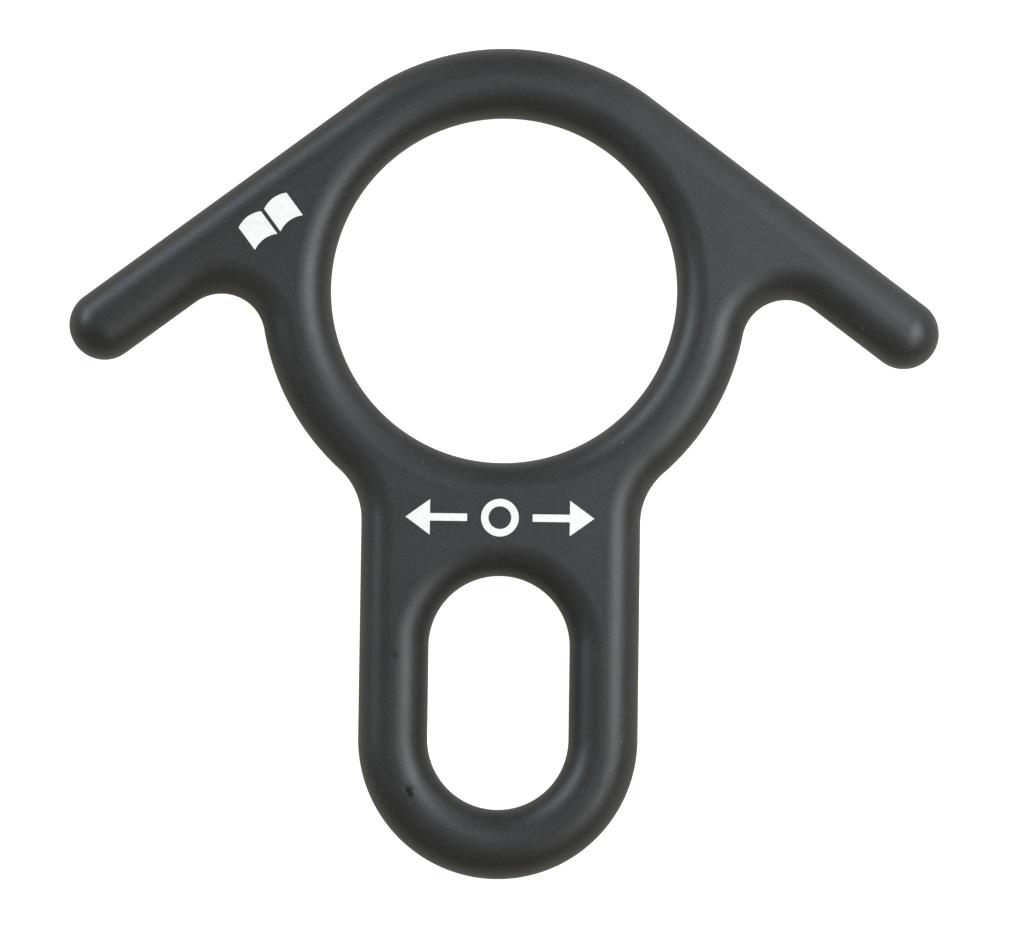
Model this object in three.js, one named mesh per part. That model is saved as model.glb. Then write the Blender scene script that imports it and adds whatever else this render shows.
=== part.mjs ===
// Rescue figure-eight descender with ears.
// One thick aluminium plate with every edge rounded: a round rope ring, two straight ears that leave the
// ring as tangents and slope down, and a stem with an oblong carabiner eye and a half-round end. Thin
// printed pictograms lie on its front face.
// Millimetres, +Z up. The plate lies on its back face: X runs from ear to ear, Y runs from the carabiner
// eye towards the rope ring, and Z is the plate's thickness. The origin is at the middle of the plate's
// outline, on its back face.
import * as THREE from "three";

// ---- driving dimensions ----

const RING_INNER_R = 31.4; // rope ring's hole
const BAR_WIDTH = 12.7; // wall of the ring, and width of each ear, 1/2 in
const EYE_HALF_WIDTH = 12.75; // carabiner eye, half its width and the radius of its ends
const EYE_STRAIGHT = 16.7; // straight part of the carabiner eye's sides
const LEG_WIDTH = 12.5; // material at each side of the eye and round its far end
const RING_TO_EYE = 81.35; // from the ring's centre to the centre of the eye's far end

const EAR_SLOPE = THREE.MathUtils.degToRad(36.8); // how far the ears drop from level
const EAR_REACH = 62.35; // from where the ear leaves the ring to the centre of its round tip
const EAR_FILLET_R = 8.0; // in the crook between an ear and the ring
const STEM_FILLET_R = 12.2; // between the ring and the stem

const THICKNESS = 12.7; // plate, 1/2 in
const EDGE_RADIUS = 6.1; // rounding of every edge, just short of half the thickness
const EDGE_STEPS = 5; // facets round each quarter-round edge
const CHORD_ERROR = 0.06; // how far the plate's facets may stray from their true arcs

const INK_THICKNESS = 0.05; // print film on the front face
const INK_CHORD_ERROR = 0.008; // how far the print's facets may stray from their true arcs
const INK_CURVE_STEPS = 14; // facets along each bowed edge of the print
const INK_STROKE = 1.35; // line width of the mark on the web
const WEB_RING_R = 3.4; // ring pictogram on the web, outside radius
const WEB_ARROW_START = 5.9; // from the ring pictogram's centre to an arrow's tail
const WEB_ARROW_LENGTH = 11.1;
const WEB_ARROW_HEAD = 4.4; // length of the arrow head
const WEB_ARROW_HALF_WIDTH = 3.2; // half the width of the arrow head
const BOOK_WIDTH = 10.7; // open-book pictogram on the left ear
const BOOK_HEIGHT = 5.7;
const BOOK_SPINE_GAP = 0.7; // between the two pages
const BOOK_SAG = 0.65; // how far the pages' top and bottom edges bow
const BOOK_ALONG_EAR = 26.9; // from where the ear leaves the ring to the pictogram's middle

// ---- sizes that follow from them ----

const RING_OUTER_R = RING_INNER_R + BAR_WIDTH;
const RING_MIDDLE_R = RING_INNER_R + BAR_WIDTH / 2;
const STEM_HALF_WIDTH = EYE_HALF_WIDTH + LEG_WIDTH;
const LENGTH = RING_OUTER_R + RING_TO_EYE + STEM_HALF_WIDTH;
const RING_CENTRE_Y = LENGTH / 2 - RING_OUTER_R; // puts the outline's middle on the origin

// Plan directions of the right ear: acrossEar points out of its upper edge, alongEar towards its tip.
const acrossEar = new THREE.Vector2(Math.sin(EAR_SLOPE), Math.cos(EAR_SLOPE));
const alongEar = new THREE.Vector2(Math.cos(EAR_SLOPE), -Math.sin(EAR_SLOPE));

// A plan point given by its distances across and along the right ear, from the ring's centre.
function onEar(across, along) {
  return acrossEar
    .clone()
    .multiplyScalar(across)
    .addScaledVector(alongEar, along);
}

// ---- outlines, drawn about the ring's centre ----

// Points of an arc about centre, swept from one angle to the other, whose chords stay within chordError.
function arcPoints(centre, radius, fromAngle, toAngle, chordError = CHORD_ERROR) {
  const longestStep = 2 * Math.acos(1 - chordError / radius);
  const steps = Math.ceil(Math.abs(toAngle - fromAngle) / longestStep);
  const points = [];
  for (let i = 0; i <= steps; i += 1) {
    const angle = fromAngle + ((toAngle - fromAngle) * i) / steps;
    points.push(
      new THREE.Vector2(
        centre.x + radius * Math.cos(angle),
        centre.y + radius * Math.sin(angle),
      ),
    );
  }
  return points;
}

// Drops each point that repeats the one before it, and a last one that repeats the first.
function withoutRepeats(points) {
  const SAME = 1e-6;
  return points.filter((point, i) => {
    const before = points[(i + points.length - 1) % points.length];
    return point.distanceTo(before) > SAME;
  });
}

// Centre of the fillet in the ear's crook: it touches the ring's outside and the ear's lower edge.
function earFilletCentre() {
  const across = RING_INNER_R - EAR_FILLET_R;
  const fromRingCentre = RING_OUTER_R + EAR_FILLET_R;
  return onEar(across, Math.sqrt(fromRingCentre ** 2 - across ** 2));
}

// Centre of the fillet that joins the stem's side to the ring's outside.
function stemFilletCentre() {
  const x = STEM_HALF_WIDTH + STEM_FILLET_R;
  const fromRingCentre = RING_OUTER_R + STEM_FILLET_R;
  return new THREE.Vector2(x, -Math.sqrt(fromRingCentre ** 2 - x ** 2));
}

// The right-hand half of the outer outline, from the middle of the stem's end to the top of the ring.
// Each straight stretch is the gap between two arcs.
function rightHalfOutline() {
  const ringCentre = new THREE.Vector2(0, 0);
  const endCentre = new THREE.Vector2(0, -RING_TO_EYE);
  const stemFillet = stemFilletCentre();
  const earFillet = earFilletCentre();
  const tipCentre = onEar(RING_MIDDLE_R, EAR_REACH);
  const towardsAcross = Math.atan2(acrossEar.y, acrossEar.x);
  const stemFilletEnd = Math.atan2(-stemFillet.y, -stemFillet.x);
  const earFilletStart = Math.atan2(-earFillet.y, -earFillet.x);
  return [
    ...arcPoints(endCentre, STEM_HALF_WIDTH, -Math.PI / 2, 0),
    ...arcPoints(stemFillet, STEM_FILLET_R, Math.PI, stemFilletEnd),
    ...arcPoints(
      ringCentre,
      RING_OUTER_R,
      stemFilletEnd - Math.PI,
      earFilletStart - Math.PI,
    ),
    ...arcPoints(earFillet, EAR_FILLET_R, earFilletStart, towardsAcross),
    ...arcPoints(
      tipCentre,
      BAR_WIDTH / 2,
      towardsAcross - Math.PI,
      towardsAcross,
    ),
    ...arcPoints(ringCentre, RING_OUTER_R, towardsAcross, Math.PI / 2),
  ];
}

function outerOutline() {
  const right = rightHalfOutline();
  const left = right.map((point) => new THREE.Vector2(-point.x, point.y));
  return withoutRepeats([...right, ...left.reverse()]);
}

function ropeRingHole() {
  return withoutRepeats(
    arcPoints(new THREE.Vector2(0, 0), RING_INNER_R, 0, 2 * Math.PI),
  );
}

function carabinerEyeHole() {
  const farCentre = new THREE.Vector2(0, -RING_TO_EYE);
  const nearCentre = new THREE.Vector2(0, EYE_STRAIGHT - RING_TO_EYE);
  return withoutRepeats([
    ...arcPoints(nearCentre, EYE_HALF_WIDTH, 0, Math.PI),
    ...arcPoints(farCentre, EYE_HALF_WIDTH, Math.PI, 2 * Math.PI),
  ]);
}

// ---- the plate ----

// The outline swept through the thickness, with a quarter-round on both edges of every wall.
function plateGeometry() {
  const outline = new THREE.Shape(outerOutline());
  outline.holes.push(new THREE.Path(ropeRingHole()));
  outline.holes.push(new THREE.Path(carabinerEyeHole()));
  const geometry = new THREE.ExtrudeGeometry(outline, {
    depth: THICKNESS - 2 * EDGE_RADIUS,
    bevelEnabled: true,
    bevelThickness: EDGE_RADIUS,
    bevelSize: EDGE_RADIUS,
    bevelOffset: -EDGE_RADIUS,
    bevelSegments: EDGE_STEPS,
  });
  return geometry.translate(0, 0, EDGE_RADIUS);
}

// ---- the printed marks ----

function inkGeometry(shape) {
  return new THREE.ExtrudeGeometry(shape, {
    depth: INK_THICKNESS,
    bevelEnabled: false,
    curveSegments: INK_CURVE_STEPS,
  });
}

function inkCircle(radius) {
  const centre = new THREE.Vector2(0, 0);
  return withoutRepeats(
    arcPoints(centre, radius, 0, 2 * Math.PI, INK_CHORD_ERROR),
  );
}

function ringPictogram() {
  const shape = new THREE.Shape(inkCircle(WEB_RING_R));
  shape.holes.push(new THREE.Path(inkCircle(WEB_RING_R - INK_STROKE)));
  return shape;
}

// An arrow that points away from the ring pictogram: side is 1 for right and -1 for left.
function arrowPictogram(side) {
  const tail = WEB_ARROW_START;
  const tip = tail + WEB_ARROW_LENGTH;
  const neck = tip - WEB_ARROW_HEAD;
  const halfStroke = INK_STROKE / 2;
  const shape = new THREE.Shape();
  shape.moveTo(side * tail, -halfStroke);
  shape.lineTo(side * neck, -halfStroke);
  shape.lineTo(side * neck, -WEB_ARROW_HALF_WIDTH);
  shape.lineTo(side * tip, 0);
  shape.lineTo(side * neck, WEB_ARROW_HALF_WIDTH);
  shape.lineTo(side * neck, halfStroke);
  shape.lineTo(side * tail, halfStroke);
  shape.closePath();
  return shape;
}

// One page of an open book: side is 1 for right and -1 for left. Its top and bottom edges bow upwards.
function pagePictogram(side) {
  const halfWidth = (BOOK_WIDTH - BOOK_SPINE_GAP) / 4;
  const middle = side * (halfWidth + BOOK_SPINE_GAP / 2);
  const top = BOOK_HEIGHT / 2 - BOOK_SAG;
  const bottom = -BOOK_HEIGHT / 2;
  const shape = new THREE.Shape();
  shape.moveTo(middle - halfWidth, bottom);
  shape.quadraticCurveTo(
    middle,
    bottom + 2 * BOOK_SAG,
    middle + halfWidth,
    bottom,
  );
  shape.lineTo(middle + halfWidth, top);
  shape.quadraticCurveTo(middle, top + 2 * BOOK_SAG, middle - halfWidth, top);
  shape.closePath();
  return shape;
}

// ---- the object ----

const anodised = new THREE.MeshStandardMaterial({
  color: "#303234",
  roughness: 0.45,
  metalness: 0.7,
});
const ink = new THREE.MeshStandardMaterial({
  color: "#f2f2f0",
  roughness: 0.7,
  metalness: 0,
});

function namedMesh(name, geometry, material) {
  const mesh = new THREE.Mesh(geometry, material);
  mesh.name = name;
  return mesh;
}

// Both marks lie on the front face. Their middles are on the flat land between the rounded edges.
function webMark() {
  const flatTop = -(RING_INNER_R + EDGE_RADIUS);
  const flatBottom = EYE_STRAIGHT - RING_TO_EYE + EYE_HALF_WIDTH + EDGE_RADIUS;
  const mark = new THREE.Group();
  mark.position.set(0, (flatTop + flatBottom) / 2, THICKNESS);
  mark.add(
    namedMesh("web_mark_ring", inkGeometry(ringPictogram()), ink),
    namedMesh("web_mark_left_arrow", inkGeometry(arrowPictogram(-1)), ink),
    namedMesh("web_mark_right_arrow", inkGeometry(arrowPictogram(1)), ink),
  );
  return mark;
}

function earMark() {
  const flatEdge = RING_OUTER_R - EDGE_RADIUS;
  const EDGE_GAP = 0.4; // from the mark to the start of the ear's rounded edge
  const onRightEar = onEar(flatEdge - EDGE_GAP - BOOK_HEIGHT / 2, BOOK_ALONG_EAR);
  const mark = new THREE.Group();
  mark.position.set(-onRightEar.x, onRightEar.y, THICKNESS);
  mark.rotation.z = EAR_SLOPE;
  mark.add(
    namedMesh("ear_mark_left_page", inkGeometry(pagePictogram(-1)), ink),
    namedMesh("ear_mark_right_page", inkGeometry(pagePictogram(1)), ink),
  );
  return mark;
}

const descender = new THREE.Group();
descender.position.y = RING_CENTRE_Y;
descender.add(
  namedMesh("descender_plate", plateGeometry(), anodised),
  webMark(),
  earMark(),
);

export default descender;
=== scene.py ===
import math

import bpy
import numpy as np
from mathutils import Matrix, Vector
from mathutils.geometry import delaunay_2d_cdt


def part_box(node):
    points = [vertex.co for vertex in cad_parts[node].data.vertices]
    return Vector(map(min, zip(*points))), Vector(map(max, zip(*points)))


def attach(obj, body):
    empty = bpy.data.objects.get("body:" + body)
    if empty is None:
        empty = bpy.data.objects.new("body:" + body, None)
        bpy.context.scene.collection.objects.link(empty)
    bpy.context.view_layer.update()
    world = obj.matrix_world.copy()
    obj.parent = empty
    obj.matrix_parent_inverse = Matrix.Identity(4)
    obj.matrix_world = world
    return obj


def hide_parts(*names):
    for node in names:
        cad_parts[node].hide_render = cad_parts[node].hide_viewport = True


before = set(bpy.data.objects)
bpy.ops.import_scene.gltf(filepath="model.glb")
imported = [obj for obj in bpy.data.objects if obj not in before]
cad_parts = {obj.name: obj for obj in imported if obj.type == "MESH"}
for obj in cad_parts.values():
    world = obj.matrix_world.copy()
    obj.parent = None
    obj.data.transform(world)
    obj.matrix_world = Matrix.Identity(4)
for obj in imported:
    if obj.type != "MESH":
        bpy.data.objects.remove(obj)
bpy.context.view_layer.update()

MM = 0.001

# ---- sizes, in millimetres, the same as the CAD plate's ----

RING_INNER_R = 31.4  # rope ring's hole
BAR_WIDTH = 12.7  # wall of the ring, and width of each ear
EYE_HALF_WIDTH = 12.75  # carabiner eye, half its width and the radius of its ends
EYE_STRAIGHT = 16.7  # straight part of the carabiner eye's sides
LEG_WIDTH = 12.5  # material at each side of the eye and round its far end
RING_TO_EYE = 81.35  # from the ring's centre to the centre of the eye's far end
EAR_SLOPE = math.radians(36.8)  # how far the ears drop from level
EAR_REACH = 62.35  # from where the ear leaves the ring to the centre of its round tip
EAR_FILLET_R = 8.0  # in the crook between an ear and the ring
STEM_FILLET_R = 12.2  # between the ring and the stem
EDGE_RADIUS = 6.1  # rounding of every edge

RING_OUTER_R = RING_INNER_R + BAR_WIDTH
RING_MIDDLE_R = RING_INNER_R + BAR_WIDTH / 2
STEM_HALF_WIDTH = EYE_HALF_WIDTH + LEG_WIDTH

# The frame says where the plate lies and how thick it is.
plate_low, plate_high = (np.array(corner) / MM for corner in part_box("descender_plate"))
THICKNESS = plate_high[2] - plate_low[2]
BACK_Z = plate_low[2]
RING_CENTRE_Y = plate_high[1] - RING_OUTER_R

OUTLINE_STEP = 0.5  # length of a facet along an outline
SAME_POINT = 0.005  # outline points nearer than this are one point
EDGE_STEPS = 14  # facets round a quarter-round edge
LAND_STEP = 1.5  # spacing of the points inside the flat faces


# ---- outlines ----
# An outline is a list of arcs, each a centre, radius, start angle and end angle, with material on its left.
# An arc that turns left bulges out of the material, one that turns right is hollow. Each straight stretch is
# the gap between two arcs. The ring's centre is (0, 0).


def on_ear(across, along):
    """A plan point from its distances across and along the right ear, measured from the ring's centre."""
    return (
        across * math.sin(EAR_SLOPE) + along * math.cos(EAR_SLOPE),
        across * math.cos(EAR_SLOPE) - along * math.sin(EAR_SLOPE),
    )


def outer_arcs():
    """The outside of the plate, anticlockwise from the middle of the stem's end."""
    towards_across = math.pi / 2 - EAR_SLOPE
    fillet_across = RING_INNER_R - EAR_FILLET_R
    fillet_along = math.sqrt((RING_OUTER_R + EAR_FILLET_R) ** 2 - fillet_across**2)
    ear_fillet = on_ear(fillet_across, fillet_along)
    ear_fillet_angle = math.atan2(ear_fillet[1], ear_fillet[0])
    stem_x = STEM_HALF_WIDTH + STEM_FILLET_R
    stem_fillet = (stem_x, -math.sqrt((RING_OUTER_R + STEM_FILLET_R) ** 2 - stem_x**2))
    stem_fillet_angle = math.atan2(stem_fillet[1], stem_fillet[0])
    tip = on_ear(RING_MIDDLE_R, EAR_REACH)
    right = [
        ((0, -RING_TO_EYE), STEM_HALF_WIDTH, -math.pi / 2, 0),
        (stem_fillet, STEM_FILLET_R, math.pi, math.pi + stem_fillet_angle),
        ((0, 0), RING_OUTER_R, stem_fillet_angle, ear_fillet_angle),
        (ear_fillet, EAR_FILLET_R, math.pi + ear_fillet_angle, towards_across),
        (tip, BAR_WIDTH / 2, towards_across - math.pi, towards_across),
        ((0, 0), RING_OUTER_R, towards_across, math.pi / 2),
    ]
    left = [
        ((-centre[0], centre[1]), radius, math.pi - end, math.pi - start)
        for centre, radius, start, end in reversed(right)
    ]
    return right + left


def ring_hole_arcs():
    """The rope ring's hole, clockwise."""
    return [((0, 0), RING_INNER_R, 2 * math.pi, 0)]


def eye_hole_arcs():
    """The carabiner eye, clockwise: two half circles, with the straight sides between them."""
    far = (0, -RING_TO_EYE)
    near = (0, EYE_STRAIGHT - RING_TO_EYE)
    return [
        (near, EYE_HALF_WIDTH, math.pi, 0),
        (far, EYE_HALF_WIDTH, 0, -math.pi),
    ]


def unit(angle):
    return np.array((math.cos(angle), math.sin(angle)))


def sample_outline(arcs):
    """Even points along an outline, and the unit vectors that point out of the material there."""
    points = []
    outward = []
    for index, (centre, radius, start, end) in enumerate(arcs):
        bulge = math.copysign(1, end - start)
        steps = max(2, math.ceil(abs(end - start) * radius / OUTLINE_STEP))
        for angle in np.linspace(start, end, steps + 1):
            points.append(np.array(centre) + radius * unit(angle))
            outward.append(bulge * unit(angle))
        last = points[-1]
        next_centre, next_radius, next_start, _ = arcs[(index + 1) % len(arcs)]
        gap = np.array(next_centre) + next_radius * unit(next_start) - last
        steps = math.ceil(np.linalg.norm(gap) / OUTLINE_STEP)
        for step in range(1, steps):
            points.append(last + gap * step / steps)
            outward.append(outward[-1])
    keep = [
        i for i in range(len(points))
        if np.linalg.norm(points[i] - points[i - 1]) > SAME_POINT
    ]
    return np.array(points)[keep], np.array(outward)[keep]


# ---- the plate's mesh ----


def wall_profile():
    """The wall's section, from the front land's edge down to the back land's. Each point has its inset from
    the outline, its height over the back face, and how far its surface tilts from facing forwards."""
    quarter = np.linspace(0, math.pi / 2, EDGE_STEPS + 1)
    inset = EDGE_RADIUS * (1 - np.sin(quarter))
    rise = EDGE_RADIUS * np.cos(quarter)
    front = np.column_stack((inset, THICKNESS - EDGE_RADIUS + rise, quarter))
    back = np.column_stack((inset, EDGE_RADIUS - rise, math.pi - quarter))[::-1]
    return np.vstack((front, back))


class MeshBuilder:
    """Collects vertices, their normals and faces, all in millimetres."""

    def __init__(self):
        self.vertices = []
        self.normals = []
        self.faces = []

    def add_points(self, points, normals):
        """Gives the number of the first point added."""
        first = len(self.vertices)
        self.vertices.extend(points)
        self.normals.extend(normals)
        return first

    def make(self, name):
        """A smooth-shaded object in metres, in the frame's place."""
        mesh = bpy.data.meshes.new(name)
        points = (np.array(self.vertices) + (0, RING_CENTRE_Y, BACK_Z)) * MM
        mesh.from_pydata(points.tolist(), [], self.faces)
        mesh.polygons.foreach_set("use_smooth", [True] * len(mesh.polygons))
        mesh.normals_split_custom_set_from_vertices(self.normals)
        mesh.update()
        piece = bpy.data.objects.new(name, mesh)
        bpy.context.scene.collection.objects.link(piece)
        return piece


def add_wall(builder, arcs):
    """Sweeps the wall section round an outline. Gives the first vertex, the outline's point count and the
    number of rows down the wall."""
    points, outward = sample_outline(arcs)
    profile = wall_profile()
    count = len(points)
    first = len(builder.vertices)
    for inset, height, tilt in profile:
        ring = points - inset * outward
        normals = math.sin(tilt) * outward
        builder.add_points(
            np.column_stack((ring, np.full(count, height))),
            np.column_stack((normals, np.full(count, math.cos(tilt)))),
        )
    for row in range(len(profile) - 1):
        upper = first + row * count
        lower = upper + count
        for i in range(count):
            j = (i + 1) % count
            builder.faces.append((upper + i, lower + i, lower + j, upper + j))
    return first, count, len(profile)


def inside(points, loops):
    """Which of the plan points lie inside the loops, counting crossings to the right."""
    crossings = np.zeros(len(points), dtype=int)
    for loop in loops:
        ahead = np.roll(loop, -1, axis=0)
        for (x0, y0), (x1, y1) in zip(loop, ahead):
            if y0 == y1:
                continue
            spans = (points[:, 1] > min(y0, y1)) & (points[:, 1] <= max(y0, y1))
            x_there = x0 + (points[:, 1] - y0) * (x1 - x0) / (y1 - y0)
            crossings += spans & (x_there > points[:, 0])
    return crossings % 2 == 1


def land_grid(loops):
    """Even points inside the loops, none of them close to a loop."""
    rim = np.vstack(loops)
    low = rim.min(axis=0)
    high = rim.max(axis=0)
    xs = np.arange(low[0], high[0], LAND_STEP)
    ys = np.arange(low[1], high[1], LAND_STEP)
    grid = np.array([(x, y) for x in xs for y in ys])
    grid = grid[inside(grid, loops)]
    clear = [np.min(np.sum((rim - point) ** 2, axis=1)) > (LAND_STEP / 2) ** 2 for point in grid]
    return grid[clear]


def triangulate(points, loops):
    """Triangles inside the loops, as numbers into points, which start with the loops' own points."""
    edges = []
    start = 0
    for loop in loops:
        count = len(loop)
        edges.extend((start + i, start + (i + 1) % count) for i in range(count))
        start += count
    within_edges = 1
    smallest_gap = 1e-6
    found = delaunay_2d_cdt([Vector(point) for point in points], edges, [], within_edges, smallest_gap)
    if len(found[0]) != len(points):
        raise ValueError("the land's triangulation added or dropped points")
    order = np.array([old[0] for old in found[3]])
    triangles = order[np.array([face for face in found[2] if len(face) == 3])]
    middles = points[triangles].mean(axis=1)
    return triangles[inside(middles, loops)]


def add_land(builder, walls, row, facing):
    """Fills the flat face between the walls' edges. facing is 1 for the front and -1 for the back."""
    loops = []
    indices = []
    for first, count, _ in walls:
        ring = range(first + row * count, first + (row + 1) * count)
        loops.append(np.array([builder.vertices[i][:2] for i in ring]))
        indices.extend(ring)
    height = builder.vertices[indices[0]][2]
    grid = land_grid(loops)
    triangles = triangulate(np.vstack((*loops, grid)), loops)
    added = builder.add_points(
        np.column_stack((grid, np.full(len(grid), height))),
        np.tile((0, 0, facing), (len(grid), 1)),
    )
    vertex_of = indices + list(range(added, added + len(grid)))
    for triangle in triangles:
        face = [vertex_of[i] for i in triangle]
        builder.faces.append(face if facing > 0 else face[::-1])


def build_plate():
    builder = MeshBuilder()
    walls = [add_wall(builder, arcs) for arcs in (outer_arcs(), ring_hole_arcs(), eye_hole_arcs())]
    last_row = walls[0][2] - 1
    add_land(builder, walls, 0, 1)
    add_land(builder, walls, last_row, -1)
    return builder.make("smooth_plate")


# ---- materials ----
# Textures use object coordinates, which are metres in the frame's own axes.

NOISE_LOW = 0.3  # noise seldom goes beyond these two
NOISE_HIGH = 0.7


class Shading:
    """A new material and its Principled shader, with short calls for the nodes used here."""

    def __init__(self, name):
        self.material = bpy.data.materials.new(name)
        self.material.use_nodes = True
        self.tree = self.material.node_tree
        self.shader = self.tree.nodes["Principled BSDF"]
        self.position = self.node("ShaderNodeTexCoord").outputs["Object"]

    def node(self, kind, **settings):
        node = self.tree.nodes.new(kind)
        for name, value in settings.items():
            setattr(node, name, value)
        return node

    def feed(self, socket, value):
        """Sets a socket to a number or a colour, or links an output to it."""
        if isinstance(value, bpy.types.NodeSocket):
            self.tree.links.new(value, socket)
        else:
            socket.default_value = value

    def noise(self, size, detail=2.0):
        """Noise from 0 to 1 whose lumps are about size millimetres across."""
        node = self.node("ShaderNodeTexNoise")
        self.feed(node.inputs["Vector"], self.position)
        self.feed(node.inputs["Scale"], 1 / (size * MM))
        self.feed(node.inputs["Detail"], detail)
        return node.outputs["Fac"]

    def calc(self, operation, *values):
        node = self.node("ShaderNodeMath", operation=operation)
        for socket, value in zip(node.inputs, values):
            self.feed(socket, value)
        return node.outputs[0]

    def spread(self, value, low, high, to_low, to_high):
        """Maps low..high to to_low..to_high, smoothly and clamped."""
        node = self.node("ShaderNodeMapRange", interpolation_type="SMOOTHSTEP")
        for socket, number in zip(node.inputs, (value, low, high, to_low, to_high)):
            self.feed(socket, number)
        return node.outputs[0]

    def vary(self, noise, low, high):
        """Makes noise swing between low and high."""
        return self.spread(noise, NOISE_LOW, NOISE_HIGH, low, high)

    def split(self, vector):
        """The three parts of a vector."""
        node = self.node("ShaderNodeSeparateXYZ")
        self.feed(node.inputs[0], vector)
        return node.outputs

    def blend(self, amount, first, second):
        """Goes from the first colour to the second."""
        node = self.node("ShaderNodeMix", data_type="RGBA")
        for name, value in (("Factor_Float", amount), ("A_Color", first), ("B_Color", second)):
            socket = next(s for s in node.inputs if s.identifier == name)
            self.feed(socket, value)
        return next(s for s in node.outputs if s.identifier == "Result_Color")

    def bump(self, height, depth, under=None):
        """A bump whose height of 1 stands depth millimetres proud, laid over another if one is given."""
        node = self.node("ShaderNodeBump")
        self.feed(node.inputs["Distance"], depth * MM)
        self.feed(node.inputs["Height"], height)
        if under is not None:
            self.feed(node.inputs["Normal"], under)
        return node.outputs[0]

    def spot(self, place, size, uneven):
        """1 in the middle of a spot on the surface, falling softly to 0 at its uneven edge."""
        away = self.node("ShaderNodeVectorMath", operation="DISTANCE")
        self.feed(away.inputs[0], self.position)
        self.feed(away.inputs[1], [number * MM for number in place])
        core = 0.05 * size * MM
        rim = 0.7 * size * MM
        shift = 0.12 * size * MM
        reach = self.calc("ADD", away.outputs["Value"], self.vary(uneven, -shift, shift))
        return self.spread(reach, core, rim, 1.0, 0.0)

    def dots(self, spacing, size, share):
        """1 inside small dots, about spacing apart, on a share of the places. Sizes in millimetres."""
        cells = self.node("ShaderNodeTexVoronoi")
        self.feed(cells.inputs["Vector"], self.position)
        self.feed(cells.inputs["Scale"], 1 / (spacing * MM))
        radius = size / 2 / spacing
        dot = self.spread(cells.outputs["Distance"], 0.6 * radius, radius, 1.0, 0.0)
        pick = self.node("ShaderNodeSeparateColor")
        self.feed(pick.inputs[0], cells.outputs["Color"])
        chosen = self.calc("LESS_THAN", pick.outputs[0], share)
        strength = pick.outputs[1]
        return self.calc("MULTIPLY", self.calc("MULTIPLY", dot, chosen), strength)

    def stripe(self, start, end, width, wobble):
        """1 on the front along a line in plan, 0 beyond width from it. Sizes in millimetres."""
        length = math.dist(start, end)
        turned = self.node("ShaderNodeMapping", vector_type="TEXTURE")
        self.feed(turned.inputs["Location"], (start[0] * MM, start[1] * MM, 0))
        self.feed(turned.inputs["Rotation"], (0, 0, math.atan2(end[1] - start[1], end[0] - start[0])))
        self.feed(turned.inputs["Vector"], self.position)
        along, across, _ = self.split(turned.outputs[0])
        sway = self.vary(wobble, -width * MM, width * MM)
        off_line = self.calc("ABSOLUTE", self.calc("ADD", across, sway))
        near = self.spread(off_line, 0.5 * width * MM, width * MM, 1.0, 0.0)
        from_middle = self.calc("ABSOLUTE", self.calc("SUBTRACT", along, length / 2 * MM))
        within = self.calc("LESS_THAN", from_middle, length / 2 * MM)
        height = self.split(self.position)[2]
        front = self.calc("GREATER_THAN", height, THICKNESS / 2 * MM)
        return self.calc("MULTIPLY", self.calc("MULTIPLY", near, within), front)


DYE = (0.0150, 0.0152, 0.0158, 1)
DYE_THIN = (0.0270, 0.0272, 0.0275, 1)
BARE_METAL = (0.55, 0.55, 0.54, 1)
# Painted shade: the near-black colour given to the bottoms of the knocks.
KNOCK_PAINTED_SHADE = (0.002, 0.002, 0.002, 1)
BARE_STRENGTH = 0.5  # how far a speck goes from dye to bare metal
INK_FULL = (0.88, 0.86, 0.85, 1)
INK_THIN = (0.80, 0.78, 0.77, 1)

# Sizes in millimetres.
GRAIN_SIZE = 0.30  # the bead blast's dimples, across
GRAIN_DEPTH = 0.015
WAVE_SIZE = 0.9  # the slower unevenness under them
WAVE_DEPTH = 0.010
CLOUD_SIZE = 9.0  # slow changes in the dye
SPECKLE_SIZE = 0.45  # quick ones
KNOCK_DEPTH = 0.12  # of a fully dark one
SPECKS = (3.6, 0.26, 0.22)  # spacing, size and share of the specks of bare metal
SCRATCH_DOTS = (0.32, 0.20, 0.8)  # the same for the scratch
SCRATCH_WIDTH = 0.5

# Knocks in the front face, in plan: place, size across, how dark their painted shade is. Two that overlap
# make a long one.
KNOCKS = [
    ((-18.5, -35.4), 1.7, 0.24),
    ((-15.7, -59.4), 1.5, 0.64),
    ((-15.6, -60.2), 1.5, 0.68),
]
SCRATCH = ((60.0, 27.3), (65.8, 24.3))  # near the right ear's lower edge, in plan


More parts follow.
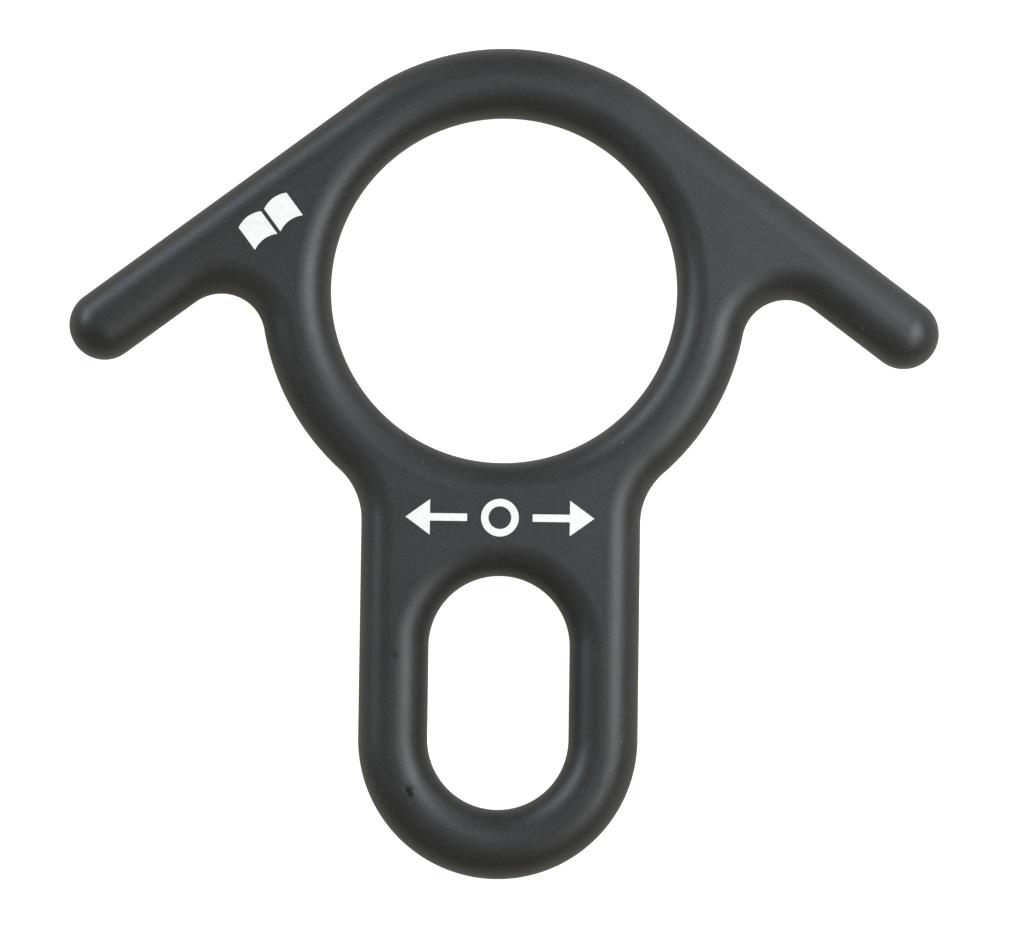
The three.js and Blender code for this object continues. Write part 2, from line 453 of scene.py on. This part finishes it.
def anodised_material():
    """Black anodising on a bead-blasted surface, with knocks darkened by painted shade, a scratch and specks
    of bare metal.
    """
    made = Shading("black_anodised")
    shader = made.shader
    made.feed(shader.inputs["IOR"], 1.5)

    cloud = made.vary(made.noise(CLOUD_SIZE, detail=3.0), 0.0, 0.3)
    speckle = made.vary(made.noise(SPECKLE_SIZE, detail=2.0), 0.0, 0.7)
    colour = made.blend(made.calc("ADD", cloud, speckle), DYE, DYE_THIN)
    made.feed(shader.inputs["Roughness"], made.vary(made.noise(4.0), 0.415, 0.445))

    specks = made.dots(*SPECKS)
    line = made.stripe(*SCRATCH, SCRATCH_WIDTH, made.noise(3.0))
    scratch = made.calc("MULTIPLY", line, made.dots(*SCRATCH_DOTS))
    bare = made.calc("MULTIPLY", made.calc("MAXIMUM", specks, scratch), BARE_STRENGTH)
    colour = made.blend(bare, colour, BARE_METAL)

    # Painted shade: metal with a black base reflects almost nothing, so it darkens the knocks' bottoms as
    # shade in a real dent would.
    uneven = made.noise(0.8)
    metal = bare
    dents = None
    for place, size, dark in KNOCKS:
        dent = made.spot((*place, THICKNESS), size, uneven)
        knock_shade = made.calc("MULTIPLY", dent, dark)
        colour = made.blend(knock_shade, colour, KNOCK_PAINTED_SHADE)
        metal = made.calc("MAXIMUM", metal, knock_shade)
        dents = knock_shade if dents is None else made.calc("MAXIMUM", dents, knock_shade)

    made.feed(shader.inputs["Base Color"], colour)
    made.feed(shader.inputs["Metallic"], metal)
    dented = made.bump(dents, -KNOCK_DEPTH)
    waved = made.bump(made.noise(WAVE_SIZE, detail=1.0), WAVE_DEPTH, under=dented)
    grained = made.bump(made.noise(GRAIN_SIZE, detail=2.0), GRAIN_DEPTH, under=waved)
    made.feed(shader.inputs["Normal"], grained)
    return made.material


def ink_material():
    """Matt white ink, a little thinner in places, over the same blasted surface."""
    made = Shading("white_ink")
    shader = made.shader
    thin = made.spread(made.noise(0.7, detail=3.0), 0.35, 0.75, 0.0, 1.0)
    made.feed(shader.inputs["Base Color"], made.blend(thin, INK_FULL, INK_THIN))
    made.feed(shader.inputs["Roughness"], made.vary(made.noise(1.5), 0.52, 0.66))
    made.feed(shader.inputs["Normal"], made.bump(made.noise(GRAIN_SIZE, detail=2.0), GRAIN_DEPTH))
    return made.material


# ---- the object ----

plate = build_plate()
plate.data.materials.append(anodised_material())
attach(plate, "root")
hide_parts("descender_plate")

ink = ink_material()
for name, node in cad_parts.items():
    if name != "descender_plate":
        node.data.materials.clear()
        node.data.materials.append(ink)

# ---- the studio, in metres ----
# The floor and the world look pure white to the camera, as in a catalogue picture, and light the object as
# a grey table in a dim warm room would.

FLOOR_SIZE = 4.0
FLOOR_GREY = (0.45, 0.45, 0.45, 1)
GLOW_COLOUR = (1.0, 0.87, 0.63, 1)
FLOOR_GLOW = 0.21
ROOM_COLOUR = (1.0, 0.92, 0.72, 1)
ROOM_STRENGTH = 0.24
WHITE_FOR_CAMERA = 0.8  # added to the floor where the camera sees it


def build_floor():
    """A square grey floor that glows faintly, and is white where the camera sees it."""
    half = FLOOR_SIZE / 2
    mesh = bpy.data.meshes.new("floor")
    corners = [(-half, -half, 0), (half, -half, 0), (half, half, 0), (-half, half, 0)]
    mesh.from_pydata(corners, [], [(0, 1, 2, 3)])
    floor = bpy.data.objects.new("floor", mesh)
    bpy.context.scene.collection.objects.link(floor)
    made = Shading("white_floor")
    shader = made.shader
    made.feed(shader.inputs["Base Color"], FLOOR_GREY)
    made.feed(shader.inputs["Roughness"], 0.9)
    made.feed(shader.inputs["Specular IOR Level"], 0.0)
    made.feed(shader.inputs["Emission Color"], GLOW_COLOUR)
    made.feed(shader.inputs["Emission Strength"], FLOOR_GLOW)
    white = made.node("ShaderNodeEmission")
    made.feed(white.inputs["Color"], (WHITE_FOR_CAMERA,) * 3 + (1,))
    made.feed(white.inputs["Strength"], made.node("ShaderNodeLightPath").outputs["Is Camera Ray"])
    both = made.node("ShaderNodeAddShader")
    made.feed(both.inputs[0], shader.outputs[0])
    made.feed(both.inputs[1], white.outputs[0])
    made.feed(made.tree.nodes["Material Output"].inputs["Surface"], both.outputs[0])
    mesh.materials.append(made.material)


def set_world():
    """A dim warm room, white where the camera sees it."""
    world = bpy.data.worlds.new("studio")
    world.use_nodes = True
    tree = world.node_tree
    room = tree.nodes["Background"]
    room.inputs["Color"].default_value = ROOM_COLOUR
    room.inputs["Strength"].default_value = ROOM_STRENGTH
    white = tree.nodes.new("ShaderNodeBackground")
    white.inputs["Color"].default_value = (1, 1, 1, 1)
    ray = tree.nodes.new("ShaderNodeLightPath")
    either = tree.nodes.new("ShaderNodeMixShader")
    tree.links.new(ray.outputs["Is Camera Ray"], either.inputs[0])
    tree.links.new(room.outputs[0], either.inputs[1])
    tree.links.new(white.outputs[0], either.inputs[2])
    tree.links.new(either.outputs[0], tree.nodes["World Output"].inputs["Surface"])
    bpy.context.scene.world = world


def add_light(name, azimuth, elevation, distance, size, power, colour):
    """A square softbox aimed at the plate's middle. Azimuth 0 is towards +X, and 90 is towards +Y."""
    data = bpy.data.lights.new(name, "AREA")
    data.size = size
    data.energy = power
    data.color = colour
    light = bpy.data.objects.new(name, data)
    flat = math.radians(azimuth)
    up = math.radians(elevation)
    towards = Vector((math.cos(up) * math.cos(flat), math.cos(up) * math.sin(flat), math.sin(up)))
    light.location = Vector((0, 0, THICKNESS / 2 * MM)) + distance * towards
    light.rotation_euler = towards.to_track_quat("Z", "Y").to_euler()
    light.visible_camera = False
    bpy.context.scene.collection.objects.link(light)


# Name, azimuth and elevation in degrees, distance, size, power in watts, colour.
SOFTBOXES = [
    ("right_key", 13, 48, 0.55, 0.285, 1.8, (0.94, 0.98, 1.0)),
    ("right_close", 48, 25, 0.26, 0.19, 0.13, (0.82, 0.91, 1.0)),
    ("overhead", 40, 74, 0.41, 0.235, 0.26, (0.75, 0.85, 1.0)),
    ("lower_right", 330, 49, 1.5, 0.65, 5.2, (0.96, 0.98, 1.0)),
    ("upper_left", 137, 23, 1.6, 0.8, 9.2, (0.79, 0.91, 1.0)),
    ("left", 162, 27, 1.6, 0.46, 6.1, (0.80, 0.92, 1.0)),
]

build_floor()
set_world()
for softbox in SOFTBOXES:
    add_light(*softbox)

# ---- the camera, in metres ----

CAMERA_HEIGHT = 1.0  # above the middle of the plate's thickness
CAMERA_OFFSET = (0.0245, -0.0633)  # where it stands from the point it looks at
AIM = (0.00189, -0.00039)  # the point that it looks at, in plan
VIEW_WIDTH = 0.1855  # width of the view at the plate
CAMERA_ROLL = math.radians(0.787)


def add_camera():
    """Looks at AIM with +Y upwards in the picture, apart from a small roll."""
    aim = Vector((*AIM, THICKNESS / 2 * MM))
    away = Vector((*CAMERA_OFFSET, CAMERA_HEIGHT))
    data = bpy.data.cameras.new("camera")
    data.sensor_width = 36
    data.lens = data.sensor_width * away.length / VIEW_WIDTH
    data.clip_end = 20
    camera = bpy.data.objects.new("camera", data)
    camera.location = aim + away
    back = away.normalized()
    right = Vector((0, 1, 0)).cross(back).normalized()
    level = Matrix((right, back.cross(right), back)).transposed()
    camera.rotation_euler = (level @ Matrix.Rotation(CAMERA_ROLL, 3, "Z")).to_euler()
    bpy.context.scene.collection.objects.link(camera)
    bpy.context.scene.camera = camera


add_camera()
bpy.context.scene.view_settings.view_transform = "Standard"
